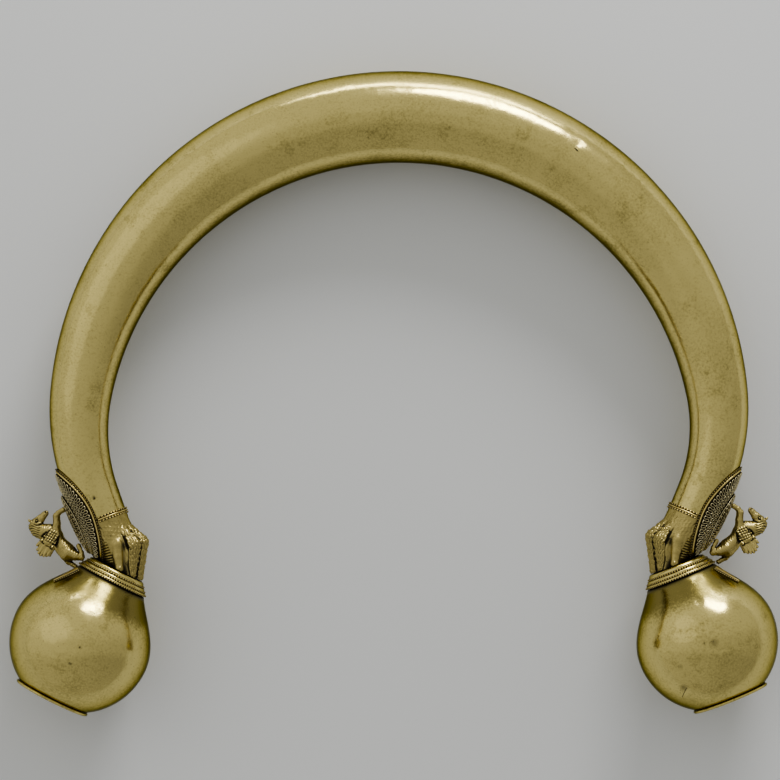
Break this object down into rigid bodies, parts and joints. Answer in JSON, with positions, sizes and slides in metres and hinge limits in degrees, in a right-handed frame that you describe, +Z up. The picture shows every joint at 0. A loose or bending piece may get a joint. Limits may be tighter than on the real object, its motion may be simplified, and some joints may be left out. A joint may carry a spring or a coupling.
{
  "type": "gold torc",
  "caption": "Open neck ring: a thick hollow gold hoop whose ends become lion's paws on pear-shaped globes, each with filigree and a winged horse.",
  "frame": {"origin": "on the ground under the middle of the torc's outline, as it lies on its back", "axes": "+Z up, out of the torc's front; +Y from the globes to the hoop's crown; +X to the right globe"},
  "size_m": [0.2676, 0.2256, 0.0492],
  "materials": {
    "sheet_gold": "polished hammered sheet, softly scratched",
    "wire_gold": "fine beaded and plain wire, dark in the grooves",
    "filigree_gold": "wire loops on sheet, dark recesses",
    "cast_gold": "worn cast and chased gold, dark in the recesses"
  },
  "bodies": {
    "root": {"hoop": "sheet_gold", "left_globe": "sheet_gold", "left_end_disc": "sheet_gold", "left_collar": "sheet_gold", "left_ankle_beads_upper": "wire_gold", "left_ankle_wire": "wire_gold", "left_ankle_beads_lower": "wire_gold", "left_pad_wire": "wire_gold", "left_pad_beads": "wire_gold", "left_collar_beads_1": "wire_gold", "left_collar_beads_2": "wire_gold", "left_collar_beads_3": "wire_gold", "left_leaf_front": "wire_gold", "left_leaf_back": "wire_gold", "left_filigree_pad": "filigree_gold", "left_filigree_ridge": "filigree_gold", "left_paw": "cast_gold", "left_winged_horse": "cast_gold", "right_globe": "sheet_gold", "right_end_disc": "sheet_gold", "right_collar": "sheet_gold", "right_ankle_beads_upper": "wire_gold", "right_ankle_wire": "wire_gold", "right_ankle_beads_lower": "wire_gold", "right_pad_wire": "wire_gold", "right_pad_beads": "wire_gold", "right_collar_beads_1": "wire_gold", "right_collar_beads_2": "wire_gold", "right_collar_beads_3": "wire_gold", "right_leaf_front": "wire_gold", "right_leaf_back": "wire_gold", "right_filigree_pad": "filigree_gold", "right_filigree_ridge": "filigree_gold", "right_paw": "cast_gold", "right_winged_horse": "cast_gold"}
  },
  "joints": []
}
